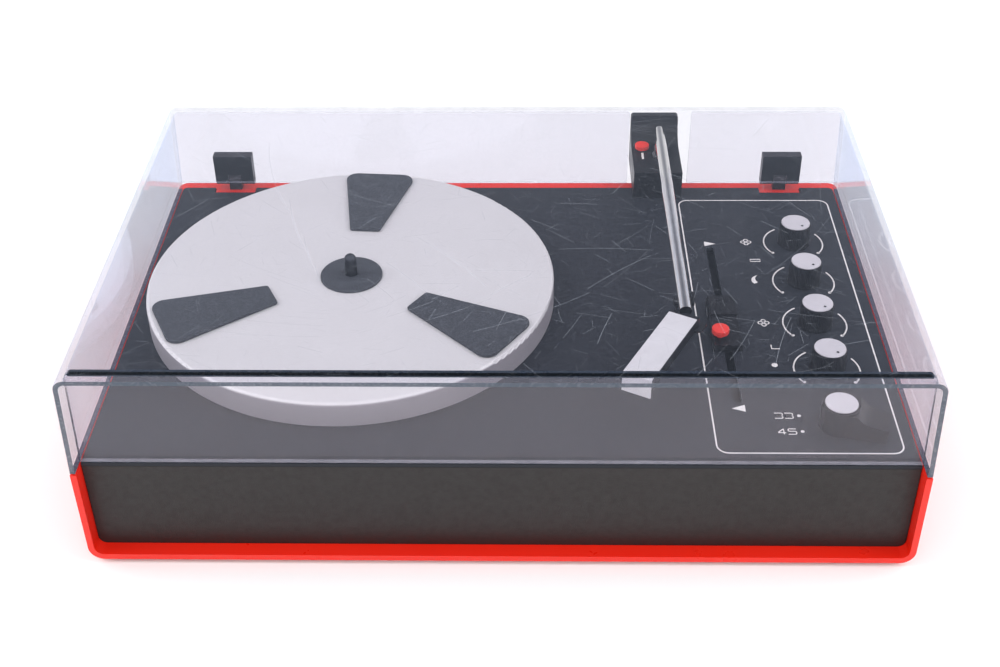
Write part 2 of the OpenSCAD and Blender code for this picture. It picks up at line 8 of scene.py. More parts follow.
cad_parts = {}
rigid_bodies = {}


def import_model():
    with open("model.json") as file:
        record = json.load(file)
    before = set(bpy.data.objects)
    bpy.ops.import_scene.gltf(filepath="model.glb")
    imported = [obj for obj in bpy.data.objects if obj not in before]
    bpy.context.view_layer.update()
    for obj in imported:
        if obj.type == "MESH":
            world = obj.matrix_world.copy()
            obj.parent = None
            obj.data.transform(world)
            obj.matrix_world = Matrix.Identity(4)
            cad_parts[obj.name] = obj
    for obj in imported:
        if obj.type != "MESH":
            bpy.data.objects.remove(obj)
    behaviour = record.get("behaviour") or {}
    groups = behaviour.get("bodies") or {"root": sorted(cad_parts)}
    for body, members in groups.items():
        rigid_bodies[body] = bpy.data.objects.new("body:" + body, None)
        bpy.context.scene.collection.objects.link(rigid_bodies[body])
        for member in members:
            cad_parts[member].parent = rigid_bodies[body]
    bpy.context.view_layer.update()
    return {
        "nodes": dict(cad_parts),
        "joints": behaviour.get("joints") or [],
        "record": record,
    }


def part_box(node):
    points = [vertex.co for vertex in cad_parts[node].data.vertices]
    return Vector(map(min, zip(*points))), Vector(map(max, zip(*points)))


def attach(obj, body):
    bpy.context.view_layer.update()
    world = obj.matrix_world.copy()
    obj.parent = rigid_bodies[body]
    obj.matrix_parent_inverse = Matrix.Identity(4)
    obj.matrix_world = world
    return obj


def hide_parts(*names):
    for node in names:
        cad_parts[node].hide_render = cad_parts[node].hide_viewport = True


for leftover in list(bpy.data.objects):
    bpy.data.objects.remove(leftover)

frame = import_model()
NODES = frame["nodes"]
BODY_OF = {n: body for body, names in frame["record"]["behaviour"]["bodies"].items() for n in names}
SLOT_OF = {p["node"]: p["material_slot"] for p in frame["record"]["subparts"]}
JOINTS = {j["name"]: j for j in frame["joints"]}

DECK_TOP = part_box("deck_plate")[1].z
INK_T = 0.00006
INK_SUNK = 0.00001
SHARP_TURN = math.radians(32)


# ---------------------------------------------------------------- camera, floor and light

CAMERA_AT = (0.01466, -0.6962, 0.5502)
CAMERA_DEGREES = (36.60, -1.411, -0.714)
CAMERA_LENS = 51.73


def add_camera():
    """In front of the player, a little right of its middle, looking down on it."""
    pitch, yaw, roll = (math.radians(a) for a in CAMERA_DEGREES)
    ahead = Vector((math.sin(yaw) * math.cos(pitch), math.cos(yaw) * math.cos(pitch), -math.sin(pitch)))
    level = Vector((math.cos(yaw), -math.sin(yaw), 0))
    upright = level.cross(ahead)
    right = level * math.cos(roll) + upright * math.sin(roll)
    up = upright * math.cos(roll) - level * math.sin(roll)
    data = bpy.data.cameras.new("camera")
    data.sensor_width = 36
    data.lens = CAMERA_LENS
    data.clip_start = 0.01
    camera = bpy.data.objects.new("camera", data)
    bpy.context.scene.collection.objects.link(camera)
    axes = Matrix((right, up, -ahead)).transposed().to_4x4()
    camera.matrix_world = Matrix.Translation(CAMERA_AT) @ axes
    bpy.context.scene.camera = camera


def add_area_light(name, place, aim, size, power):
    data = bpy.data.lights.new(name, "AREA")
    data.shape = "RECTANGLE"
    data.size, data.size_y = size
    data.energy = power
    lamp = bpy.data.objects.new(name, data)
    bpy.context.scene.collection.objects.link(lamp)
    lamp.location = place
    lamp.rotation_euler = (Vector(aim) - Vector(place)).to_track_quat("-Z", "Y").to_euler()


CARD_DIRECTION = Vector((0, 0.62, 0.785))
CARD_EDGE = (0.76, 0.99)
CARD_GREY = (0.10, 0.115, 0.15, 1)
WORLD_STRENGTH = 1.0
PLAYER_MIDDLE = (0, 0, 0.05)
FLOOR_REACH = 14


def add_world():
    """A white studio with one grey card high up behind the player, which the lid mirrors."""
    world = bpy.data.worlds.new("studio")
    bpy.context.scene.world = world
    world.use_nodes = True
    tree = world.node_tree
    tree.nodes.clear()
    coords = tree.nodes.new("ShaderNodeTexCoord")
    towards = tree.nodes.new("ShaderNodeVectorMath")
    towards.operation = "DOT_PRODUCT"
    towards.inputs[1].default_value = CARD_DIRECTION
    ramp = tree.nodes.new("ShaderNodeValToRGB")
    shade = tree.nodes.new("ShaderNodeBackground")
    out = tree.nodes.new("ShaderNodeOutputWorld")
    white, grey = ramp.color_ramp.elements
    white.position, white.color = CARD_EDGE[0], (1.0, 1.0, 1.0, 1)
    grey.position, grey.color = CARD_EDGE[1], CARD_GREY
    shade.inputs["Strength"].default_value = WORLD_STRENGTH
    tree.links.new(coords.outputs["Generated"], towards.inputs[0])
    tree.links.new(towards.outputs["Value"], ramp.inputs["Fac"])
    tree.links.new(ramp.outputs["Color"], shade.inputs["Color"])
    tree.links.new(shade.outputs[0], out.inputs["Surface"])


def add_studio():
    """A white world, four softboxes and a pale floor."""
    add_world()
    add_area_light("left_softbox", (-1.15, -0.1, 0.95), PLAYER_MIDDLE, (0.8, 1.3), 9)
    add_area_light("right_softbox", (1.15, -0.1, 0.95), PLAYER_MIDDLE, (0.8, 1.3), 9)
    add_area_light("front_softbox", (0, -0.85, 0.62), PLAYER_MIDDLE, (0.9, 0.35), 2.4)
    add_area_light("rear_softbox", (0, 1.0, 2.6), (0, 1.0, 0), (3.4, 1.0), 10)
    floor = bpy.data.meshes.new("floor")
    corners = [(x * FLOOR_REACH, y * FLOOR_REACH, 0) for x, y in ((-1, -1), (1, -1), (1, 1), (-1, 1))]
    floor.from_pydata(corners, [], [(0, 1, 2, 3)])
    ground = bpy.data.objects.new("floor", floor)
    bpy.context.scene.collection.objects.link(ground)
    look = Look("studio_floor")
    look.set(Base_Color=(0.88, 0.88, 0.885), Roughness=0.35)
    look.bump(look.noise(400, detail=3), strength=0.02)
    floor.materials.append(look.material)
    scene = bpy.context.scene
    scene.view_settings.view_transform = "Standard"
    scene.cycles.transparent_max_bounces = 16
    scene.cycles.max_bounces = 6


# ---------------------------------------------------------------- materials

class Look:
    """A node material under construction. Sockets go in as values or as another node's output."""

    def __init__(self, name):
        self.material = bpy.data.materials.new(name)
        self.material.use_nodes = True
        self.tree = self.material.node_tree
        self.tree.nodes.clear()
        self.out = self.tree.nodes.new("ShaderNodeOutputMaterial")
        self.shader = self.node("BsdfPrincipled")
        self.tree.links.new(self.shader.outputs[0], self.out.inputs["Surface"])
        self.place = self.node("TexCoord").outputs["Object"]

    def node(self, kind, **props):
        made = self.tree.nodes.new("ShaderNode" + kind)
        for key, value in props.items():
            setattr(made, key, value)
        return made

    def put(self, socket, value):
        if isinstance(value, bpy.types.NodeSocket):
            self.tree.links.new(value, socket)
        elif isinstance(value, tuple) and len(value) == 3 and socket.type == "RGBA":
            socket.default_value = (*value, 1)
        else:
            socket.default_value = value

    def set(self, **values):
        for key, value in values.items():
            self.put(self.shader.inputs[key.replace("_", " ")], value)

    def math(self, operation, a, b=0.0, c=0.0):
        made = self.node("Math", operation=operation)
        for socket, value in zip(made.inputs, (a, b, c)):
            self.put(socket, value)
        return made.outputs[0]

    def stretched(self, scale):
        """The object's own coordinates, scaled along each axis."""
        made = self.node("Mapping", vector_type="TEXTURE")
        self.put(made.inputs["Vector"], self.place)
        made.inputs["Scale"].default_value = tuple(1 / s for s in scale)
        return made.outputs[0]

    def noise(self, scale, detail=2.0, roughness=0.5, place=None):
        made = self.node("TexNoise")
        self.put(made.inputs["Vector"], place or self.place)
        made.inputs["Scale"].default_value = scale
        made.inputs["Detail"].default_value = detail
        made.inputs["Roughness"].default_value = roughness
        return made.outputs["Fac"]

    def cells(self, scale, feature="F1"):
        made = self.node("TexVoronoi", feature=feature)
        self.put(made.inputs["Vector"], self.place)
        made.inputs["Scale"].default_value = scale
        return made.outputs["Distance"]

    def ramp(self, source, stops):
        """Maps a number to colours or greys: stops are (position, grey or colour)."""
        made = self.node("ValToRGB")
        self.put(made.inputs["Fac"], source)
        elements = made.color_ramp.elements
        while len(elements) < len(stops):
            elements.new(0.5)
        for element, (position, value) in zip(elements, stops):
            element.position = position
            element.color = (value, value, value, 1) if isinstance(value, (int, float)) else (*value, 1)
        return made.outputs["Color"]

    def mix(self, factor, a, b, blend="MIX"):
        made = self.node("Mix", data_type="RGBA", blend_type=blend)
        self.put(made.inputs[0], factor)
        self.put(made.inputs[6], a)
        self.put(made.inputs[7], b)
        return made.outputs[2]

    def bump(self, height, strength=0.1, distance=0.0005):
        made = self.node("Bump")
        made.inputs["Strength"].default_value = strength
        made.inputs["Distance"].default_value = distance
        self.put(made.inputs["Height"], height)
        self.put(self.shader.inputs["Normal"], made.outputs[0])

    def split(self, vector):
        made = self.node("SeparateXYZ")
        self.put(made.inputs[0], vector)
        return made.outputs

    def either(self, factor, a, b):
        """One of two shaders, or some of each."""
        made = self.node("MixShader")
        for socket, value in zip(made.inputs, (factor, a, b)):
            self.put(socket, value)
        return made.outputs[0]

    def wear(self, scale, least=0.62, most=0.70):
        """A mask of sparse, soft scuffs."""
        return self.ramp(self.noise(scale, detail=6, roughness=0.65), [(least, 0.0), (most, 1.0)])


def red_plastic():
    look = Look("tray_red_plastic")
    tone = look.mix(look.noise(9, detail=4), (0.75, 0.011, 0.003), (0.83, 0.017, 0.004))
    scuffed = look.mix(look.math("MULTIPLY", look.wear(420), 0.10), tone, (0.84, 0.09, 0.045))
    look.set(Base_Color=scuffed)
    look.set(Roughness=look.ramp(look.noise(60, detail=5), [(0.3, 0.27), (0.7, 0.40)]))
    look.bump(look.noise(1600, detail=2), strength=0.06, distance=0.0002)
    return look.material


def black_panel():
    """Dark leather-grained sheet on the front."""
    look = Look("front_panel_black")
    tone = look.mix(look.noise(14, detail=3), (0.0080, 0.0062, 0.0062), (0.0115, 0.0088, 0.0088))
    look.set(Base_Color=tone)
    look.set(Roughness=look.ramp(look.noise(300, detail=3), [(0.3, 0.42), (0.7, 0.58)]))
    look.bump(look.cells(1500, feature="SMOOTH_F1"), strength=0.22, distance=0.0003)
    return look.material


def black_plastic():
    look = Look("moulded_black_plastic")
    tone = look.mix(look.noise(40, detail=4), (0.006, 0.006, 0.008), (0.011, 0.011, 0.014))
    worn = look.mix(look.math("MULTIPLY", look.wear(220), 0.20), tone, (0.06, 0.06, 0.07))
    look.set(Base_Color=worn, Specular_IOR_Level=0.28)
    look.set(Roughness=look.ramp(look.noise(90, detail=4), [(0.3, 0.28), (0.7, 0.44)]))
    look.bump(look.noise(1800, detail=2), strength=0.03, distance=0.0002)
    return look.material


def deck_finish():
    """Charcoal paint with a fine speckle."""
    look = Look("deck_speckled_charcoal")
    fine = look.ramp(look.noise(2600, detail=2),
                     [(0.35, (0.018, 0.020, 0.026)), (0.70, (0.026, 0.029, 0.037))])
    dust = look.ramp(look.cells(900), [(0.02, (0.16, 0.16, 0.18)), (0.10, (0.0, 0.0, 0.0))])
    broad = look.mix(look.noise(18, detail=4), (0.013, 0.015, 0.020), (0.034, 0.038, 0.047))
    speckled = look.mix(0.12, look.mix(0.22, fine, broad), dust, blend="ADD")
    look.set(Base_Color=speckled, Specular_IOR_Level=0.18)
    look.set(Roughness=look.ramp(look.noise(240, detail=3), [(0.3, 0.40), (0.7, 0.55)]))
    look.bump(look.noise(600, detail=2), strength=0.02, distance=0.0001)
    return look.material


def sheared(look):
    """Two coordinates that spread over the top, the sides and the panes alike, in metres."""
    x, y, z = look.split(look.place)
    flat = look.node("CombineXYZ")
    look.put(flat.inputs[0], look.math("MULTIPLY_ADD", z, 0.7, x))
    look.put(flat.inputs[1], look.math("MULTIPLY_ADD", z, 0.8, y))
    return flat.outputs[0]


SCRATCH_BOW = 2.0
SCRATCH_REACH = 0.7


def hairlines(look, flat, cell, width, weight):
    """One slightly bowed scratch in each cell, at its own angle and of its own length."""
    grid = look.node("TexVoronoi", voronoi_dimensions="2D", feature="F1")
    look.put(grid.inputs["Vector"], flat)
    grid.inputs["Scale"].default_value = 1 / cell
    offset = look.node("VectorMath", operation="SUBTRACT")
    look.put(offset.inputs[0], flat)
    look.put(offset.inputs[1], grid.outputs["Position"])
    x, y, _ = look.split(offset.outputs[0])
    own = look.node("SeparateColor")
    look.put(own.inputs[0], grid.outputs["Color"])
    angle = look.math("MULTIPLY", own.outputs[0], 2 * math.pi)
    cos, sin = look.math("COSINE", angle), look.math("SINE", angle)
    along = look.math("ADD", look.math("MULTIPLY", x, cos), look.math("MULTIPLY", y, sin))
    across = look.math("SUBTRACT", look.math("MULTIPLY", y, cos), look.math("MULTIPLY", x, sin))
    bowed = look.math("MULTIPLY_ADD", look.math("MULTIPLY", along, along), SCRATCH_BOW, across)
    line = look.math("SUBTRACT", 1.0, look.math("DIVIDE", look.math("ABSOLUTE", bowed), width))
    inside = look.math("LESS_THAN", look.math("ABSOLUTE", along),
                       look.math("MULTIPLY", own.outputs[1], cell * SCRATCH_REACH))
    strength = look.math("MULTIPLY", look.math("MULTIPLY", own.outputs[2], inside), weight)
    return look.math("MULTIPLY", look.math("MAXIMUM", line, 0.0), strength)


MIRROR_LEAST = 0.028
MIRROR_GRAZING = 0.9


def clear_acrylic(name, scratches=(), glow=(0.72, 0.84, 1.0), haze_and_glow=(0.004, 0.016), dust=(0.80, 0.87, 1.0)):
    """Old acrylic sheet: clear with a lavender cast, shiny, hazed by dust and hairlines. A heavy, tinted haze
    is partly painted glow.
    """
    look = Look(name)
    clear = look.node("BsdfTransparent")
    look.put(clear.inputs["Color"], (0.958, 0.954, 0.974))
    shine = look.node("BsdfAnisotropic")
    look.put(shine.inputs["Color"], glow)
    look.put(shine.inputs["Roughness"], look.ramp(look.noise(45, detail=2), [(0.3, 0.03), (0.75, 0.09)]))
    facing = look.node("LayerWeight")
    facing.inputs["Blend"].default_value = 0.5
    grazing = look.math("POWER", facing.outputs["Facing"], 5.0)
    mirror = look.math("MULTIPLY_ADD", grazing, MIRROR_GRAZING, MIRROR_LEAST)
    glass = look.either(mirror, clear.outputs[0], shine.outputs[0])
    # Haze colour: dust, and on the panes also a pink tint that is painted glow.
    look.set(Base_Color=dust, Roughness=0.5)
    marks = look.ramp(look.noise(500, detail=3), [(0.40, haze_and_glow[0]), (0.75, haze_and_glow[1])])
    flat = sheared(look)
    for cell, width, weight in scratches:
        marks = look.math("MAXIMUM", marks, hairlines(look, flat, cell, width, weight))
    seen = look.either(marks, glass, look.shader.outputs[0])
    lit_through = look.node("BsdfTransparent")
    look.put(lit_through.inputs["Color"], (0.92, 0.91, 0.94))
    shadow_ray = look.node("LightPath").outputs["Is Shadow Ray"]
    look.put(look.out.inputs["Surface"], look.either(shadow_ray, seen, lit_through.outputs[0]))
    return look.material


def acrylic_edge(name, low, high, cover):
    """The sheet's sawn edges, which look slate because they show the inside of the sheet."""
    look = Look(name)
    look.set(Base_Color=look.mix(look.noise(160, detail=5), low, high))
    look.set(Roughness=look.ramp(look.noise(500, detail=3), [(0.3, 0.16), (0.7, 0.34)]))
    look.set(Alpha=look.ramp(look.noise(120, detail=3), [(0.3, cover[0]), (0.7, cover[1])]))
    look.bump(look.noise(900, detail=3, place=look.stretched((1, 8, 8))), strength=0.10)
    return look.material


def platter_paint():
    """Silver-white paint on a turned dish, with faint rings, and painted shade that darkens its side."""
    look = Look("platter_silver_paint")
    shift = look.node("VectorMath", operation="SUBTRACT")
    look.put(shift.inputs[0], look.place)
    look.put(shift.inputs[1], tuple(JOINTS["platter_spin"]["pos_m"]))
    x, y, _ = look.split(shift.outputs[0])
    squares = look.math("ADD", look.math("MULTIPLY", x, x), look.math("MULTIPLY", y, y))
    rings = look.node("CombineXYZ")
    look.put(rings.inputs[0], look.math("SQRT", squares))
    turned = look.noise(2600, detail=3, place=rings.outputs[0])
    tone = look.mix(look.noise(22, detail=5), (0.66, 0.645, 0.64), (0.72, 0.705, 0.70))
    ringed = look.mix(look.math("MULTIPLY", turned, 0.10), tone, (0.45, 0.44, 0.45))
    # Painted shade: faces that do not face up get a darker base colour, as if the side lay in shade.
    upright = look.math("ABSOLUTE", look.split(look.node("NewGeometry").outputs["Normal"])[2])
    side_painted_shade = look.mix(look.ramp(upright, [(0.3, 1.0), (0.7, 0.0)]), ringed, (0.36, 0.34, 0.36))
    look.set(Base_Color=side_painted_shade, Metallic=0.15, Coat_Weight=0.12, Coat_Roughness=0.25)
    look.set(Roughness=look.ramp(turned, [(0.3, 0.38), (0.7, 0.50)]))
    look.bump(turned, strength=0.05, distance=0.0002)
    return look.material


def pad_rubber():
    """Black rubber, greyed by dust."""
    look = Look("platter_pad_rubber")
    dust = look.ramp(look.noise(900, detail=5, roughness=0.7), [(0.42, 0.0), (0.72, 1.0)])
    tone = look.mix(look.math("MULTIPLY", dust, 0.55), (0.030, 0.034, 0.042), (0.11, 0.12, 0.14))
    look.set(Base_Color=tone, Roughness=0.72)
    look.bump(look.noise(1500, detail=3), strength=0.30, distance=0.0003)
    return look.material


def rubber():
    look = Look("black_rubber")
    tone = look.mix(look.noise(300, detail=4), (0.018, 0.018, 0.019), (0.045, 0.045, 0.048))
    look.set(Base_Color=tone)
    look.set(Roughness=look.ramp(look.noise(200, detail=3), [(0.3, 0.65), (0.7, 0.85)]))
    look.bump(look.noise(1200, detail=3), strength=0.2, distance=0.0003)
    return look.material


def metal(name, low, high, rough, stretch=(1, 1, 1), strength=0.05):
    """Bare metal with fine lines along whichever axis stretch keeps small."""
    look = Look(name)
    lines = look.noise(900, detail=4, place=look.stretched(stretch))
    look.set(Base_Color=look.mix(look.noise(50, detail=4), low, high), Metallic=1.0)
    look.set(Roughness=look.ramp(lines, [(0.3, rough * 0.75), (0.7, rough * 1.3)]))
    look.bump(lines, strength=strength, distance=0.0001)
    return look.material


def pale_plastic(name, low, high, rough=0.4):
    look = Look(name)
    tone = look.mix(look.noise(120, detail=4), low, high)
    grime = look.math("MULTIPLY", look.wear(260, 0.60, 0.74), 0.30)
    look.set(Base_Color=look.mix(grime, tone, tuple(0.6 * c for c in low)))
    look.set(Roughness=look.ramp(look.noise(150, detail=3), [(0.3, rough - 0.08), (0.7, rough + 0.08)]))
    look.bump(look.noise(1500, detail=2), strength=0.05, distance=0.0002)
    return look.material


def ink():
    look = Look("printed_white_ink")
    worn = look.mix(look.wear(900, 0.55, 0.72), (0.80, 0.77, 0.74), (0.52, 0.50, 0.50))
    look.set(Base_Color=worn, Roughness=0.55)
    look.bump(look.noise(3000), strength=0.05, distance=0.0001)
    return look.material


# Each layer of scratches: its cells' size and half a scratch's width in metres, and how white it is
SCRATCHES = (
    (0.070, 0.00014, 0.40),
    (0.043, 0.00013, 0.42),
    (0.027, 0.00012, 0.40),
    (0.016, 0.00011, 0.36),
    (0.009, 0.00010, 0.30),
)
MATERIALS = {
    "red_plastic": red_plastic(),
    "black_plastic": black_plastic(),
    "deck_finish": deck_finish(),
    "clear_acrylic": clear_acrylic("lid_acrylic_scratched", SCRATCHES, haze_and_glow=(0.003, 0.010)),
    "platter_metal": platter_paint(),
    "bright_metal": metal("polished_metal", (0.66, 0.65, 0.64), (0.78, 0.77, 0.76), 0.12, (4, 0.2, 4), 0.02),
    "steel": metal("plain_steel", (0.40, 0.40, 0.41), (0.55, 0.55, 0.56), 0.34),
    "brass": metal("machined_brass", (0.62, 0.45, 0.20), (0.74, 0.57, 0.30), 0.28, (1, 1, 30)),
    "rubber": rubber(),
    "white_plastic": pale_plastic("white_caps", (0.53, 0.51, 0.53), (0.60, 0.58, 0.60)),
    "red_button": pale_plastic("red_button_plastic", (0.80, 0.030, 0.022), (0.88, 0.050, 0.035)),
    "board": pale_plastic("green_board", (0.05, 0.14, 0.04), (0.07, 0.20, 0.06)),
    "board_parts": pale_plastic("blue_parts", (0.02, 0.04, 0.14), (0.04, 0.07, 0.22)),
    "core_steel": metal("varnished_core", (0.20, 0.20, 0.21), (0.30, 0.30, 0.31), 0.45, (1, 1, 80), 0.3),
}
EDGE = acrylic_edge("lid_acrylic_edge", (0.045, 0.060, 0.085), (0.085, 0.105, 0.140), (0.88, 0.96))
# Painted light: a paler, more see-through copy of the sawn edge, for edges lit from behind.
EDGE_PAINTED_LIGHT = acrylic_edge("lid_acrylic_edge_painted_light", (0.50, 0.51, 0.58), (0.62, 0.63, 0.70), (0.22, 0.34))
GLUE = pale_plastic("lid_glue", (0.014, 0.022, 0.036), (0.028, 0.040, 0.060), 0.3)
# Panes: a heavier pink haze and pink-tinted shine, partly dust and partly painted glow that brightens what is
# seen through them.
PANE = clear_acrylic("pane_acrylic", glow=(1.0, 0.91, 0.94), haze_and_glow=(0.024, 0.050), dust=(1.0, 0.85, 0.91))
CLEAN = clear_acrylic("lid_acrylic_inside")
INK = ink()
PAD = pad_rubber()
PANEL = black_panel()
LABEL = pale_plastic("headshell_label", (0.60, 0.59, 0.60), (0.68, 0.67, 0.68), 0.45)
DARK_STEEL = metal("blackened_steel", (0.035, 0.038, 0.046), (0.060, 0.064, 0.075), 0.38)
SPECIAL = {"platter_pads": PAD, "centre_cap": PAD, "front_panel": PANEL, "headshell_plate": LABEL,
           "spindle": DARK_STEEL}


def surface(node):
    return SPECIAL.get(node) or MATERIALS[SLOT_OF[node]]


def paint_nodes():
    for name, obj in NODES.items():
        obj.data.materials.clear()
        obj.data.materials.append(surface(name))


# ---------------------------------------------------------------- mesh tools

def new_piece(name, mesh_bm, materials, body, node=None):
    """Turns a bmesh into a shaded piece that rides on a body."""
    mesh = bpy.data.meshes.new(name)
    bmesh.ops.recalc_face_normals(mesh_bm, faces=mesh_bm.faces)
    for face in mesh_bm.faces:
        face.smooth = True
    for edge in mesh_bm.edges:
        if len(edge.link_faces) == 2:
            edge.smooth = edge.calc_face_angle(0) < SHARP_TURN
    mesh_bm.to_mesh(mesh)
    mesh_bm.free()
    for material in materials:
        mesh.materials.append(material)
    obj = bpy.data.objects.new(name, mesh)
    bpy.context.scene.collection.objects.link(obj)
    weighted = obj.modifiers.new("weighted", "WEIGHTED_NORMAL")
    weighted.keep_sharp = True
    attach(obj, body)
    if node:
        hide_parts(node)


def cleaned(node):
    """A node's mesh as one welded bmesh with its flat faces whole."""
    bm = bmesh.new()
    bm.from_mesh(NODES[node].data)
    bmesh.ops.remove_doubles(bm, verts=bm.verts, dist=0.000002)
    bmesh.ops.dissolve_limit(bm, angle_limit=math.radians(0.4), verts=bm.verts, edges=bm.edges)
    return bm


def round_edges(bm, width, steps=2, least=35):
    """Rounds every edge that turns by more than least degrees."""
    limit = math.radians(least)
    edges = [e for e in bm.edges if len(e.link_faces) == 2 and e.calc_face_angle(0) > limit]
    bmesh.ops.bevel(bm, geom=edges, offset=width, offset_type="OFFSET", segments=steps, profile=0.5,
                    affect="EDGES", clamp_overlap=True)


def soften(node, width, steps=2):
    """Replaces a CAD node by the same shape with rounded edges."""
    bm = cleaned(node)
    round_edges(bm, width, steps)
    new_piece(node + "_finished", bm, [surface(node)], BODY_OF[node], node)


def prism(bm, outline, low, high):
    """Adds an upright prism over a closed outline of (x, y) points."""
    bottom = [bm.verts.new((x, y, low)) for x, y in outline]
    top = [bm.verts.new((x, y, high)) for x, y in outline]
    bm.faces.new(top)
    bm.faces.new(bottom[::-1])
    count = len(outline)
    for i in range(count):
        k = (i + 1) % count
        bm.faces.new((bottom[i], bottom[k], top[k], top[i]))


def stroke(bm, points, width, low, high, closed=False):
    """Adds a ribbon of even width along a path of (x, y) points."""
    count = len(points)
    sides = []
    for i, (x, y) in enumerate(points):
        before = points[i - 1] if closed or i else points[i]
        after = points[(i + 1) % count] if closed or i < count - 1 else points[i]
        run = Vector((after[0] - before[0], after[1] - before[1])).normalized()
        across = Vector((-run.y, run.x)) * width / 2
        sides.append(((x + across.x, y + across.y), (x - across.x, y - across.y)))
    rings = []
    for left, right in sides:
        rings.append([bm.verts.new((*left, low)), bm.verts.new((*right, low)),
                      bm.verts.new((*right, high)), bm.verts.new((*left, high))])
    pairs = list(zip(rings, rings[1:]))
    if closed:
        pairs.append((rings[-1], rings[0]))
    else:
        bm.faces.new(rings[0][::-1])
        bm.faces.new(rings[-1])
    for a, b in pairs:
        for i in range(4):
            k = (i + 1) % 4
            bm.faces.new((a[i], a[k], b[k], b[i]))


def arc(centre, radius, start, end, steps=24):
    """Points along an arc, angles in degrees."""
    angles = (math.radians(start + (end - start) * i / steps) for i in range(steps + 1))
    return [(centre[0] + radius * math.cos(a), centre[1] + radius * math.sin(a)) for a in angles]


def point_at(centre, radius, angle):
    return arc(centre, radius, angle, angle, 1)[0]


def disc(bm, centre, radius, low, high, steps=23):
    prism(bm, arc(centre, radius, 0, 345, steps), low, high)


def printed(name, draw, level=DECK_TOP):
    """A piece of printed ink on the base: draw fills the bmesh between two heights."""
    bm = bmesh.new()
    draw(bm, level - INK_SUNK, level + INK_T)
    new_piece(name, bm, [INK], "base")


# ---------------------------------------------------------------- printed legends

KNOBS = ("treble", "bass", "balance", "volume")
KNOB_AT = {k: Vector(JOINTS[k + "_turn"]["pos_m"]).to_2d() for k in KNOBS}
LEVER_AT = Vector(JOINTS["speed_select"]["pos_m"]).to_2d()
OUTLINE_WIDTH = 0.0008
SCALE_WIDTH = 0.00085
SCALE_R = 0.018


def rounded_box(low, high, radius):
    corners = (((high[0] - radius, high[1] - radius), 0), ((low[0] + radius, high[1] - radius), 90),
               ((low[0] + radius, low[1] + radius), 180), ((high[0] - radius, low[1] + radius), 270))
    return [p for centre, start in corners for p in arc(centre, radius, start, start + 90, 8)]


def draw_outline(bm, low, high):
    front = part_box("deck_plate")[0].y
    stroke(bm, rounded_box((0.1115, front + 0.0095), (0.2070, front + 0.2565), 0.006),
           OUTLINE_WIDTH, low, high, True)


def draw_scales(bm, low, high):
    """Two arcs round each control, each ending in a dot at its lower end."""
    for at in KNOB_AT.values():
        for start, end in ((121, 218), (34, -39)):
            stroke(bm, arc(at, SCALE_R, start, end), SCALE_WIDTH, low, high)
            disc(bm, point_at(at, SCALE_R - 0.0003, end), 0.0010, low, high)


def draw_triangles(bm, low, high):
    """Arrows at the two ends of the cue slot."""
    slot_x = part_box("cue_slider")[0].x + 0.0084
    deck_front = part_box("deck_plate")[0].y
    front, rear = deck_front + 0.0452, deck_front + 0.2050
    prism(bm, [(slot_x + 0.0034, front + 0.0030), (slot_x - 0.0037, front), (slot_x + 0.0034, front - 0.0027)],
          low, high)
    prism(bm, [(slot_x - 0.0029, rear + 0.0025), (slot_x - 0.0029, rear - 0.0025), (slot_x + 0.0041, rear)],
          low, high)


def draw_symbols(bm, low, high):
    """Plain marks beside the controls: rings of loops, a bar, a crescent, an angle and a dot."""
    left = KNOB_AT["treble"].x - 0.0290
    for knob in ("treble", "balance"):
        middle = (left, KNOB_AT[knob].y + 0.0010)
        for a in range(0, 360, 90):
            stroke(bm, arc(point_at(middle, 0.0019, a), 0.00125, 0, 345, 15), 0.0006, low, high, True)
    bar = Vector((left + 0.0032, KNOB_AT["treble"].y - 0.0194))
    stroke(bm, [bar + Vector(c) for c in ((-0.0030, -0.0011), (0.0030, -0.0011), (0.0030, 0.0011),
                                          (-0.0030, 0.0011))], 0.0007, low, high, True)
    moon = (left + 0.0036, KNOB_AT["bass"].y + 0.0016)
    outer = arc(moon, 0.0052, 118, 222, 16)
    inner = arc((moon[0] + 0.0030, moon[1] + 0.0012), 0.0058, 216, 128, 16)
    prism(bm, outer + inner, low, high)
    corner = Vector((left + 0.0014, KNOB_AT["balance"].y - 0.0236))
    stroke(bm, [corner + Vector(c) for c in ((0, 0.0036), (0, 0), (0.0044, 0))], 0.0007, low, high)
    disc(bm, (left + 0.0010, KNOB_AT["volume"].y + 0.0040), 0.0017, low, high)


def draw_speed_dots(bm, low, high):
    for y in (0.0083, -0.0044):
        disc(bm, (LEVER_AT.x - 0.0190, LEVER_AT.y + y), 0.0010, low, high)


def rounded_path(points, radius):
    """The same path with each inner corner turned into a short curve."""
    path = [points[0]]
    for before, corner, after in zip(points, points[1:], points[2:]):
        before, corner, after = Vector(before), Vector(corner), Vector(after)
        start = corner + (before - corner).normalized() * radius
        end = corner + (after - corner).normalized() * radius
        for t in (0, 0.25, 0.5, 0.75, 1):
            path.append(tuple(start.lerp(corner, t).lerp(corner.lerp(end, t), t)))
    path.append(points[-1])
    return path


HOOK = [(0, 1), (1, 1), (1, 0.5), (0.2, 0.5)]
DIGITS = {
    "3": (HOOK, [(x, 1 - y) for x, y in HOOK]),
    "4": ([(0.74, 0), (0.74, 1)], [(0.74, 1), (0, 0.30), (1, 0.30)]),
    "5": ([(1, 1), (0.04, 1), (0.04, 0.56), (1, 0.56), (1, 0), (0, 0)],),
}


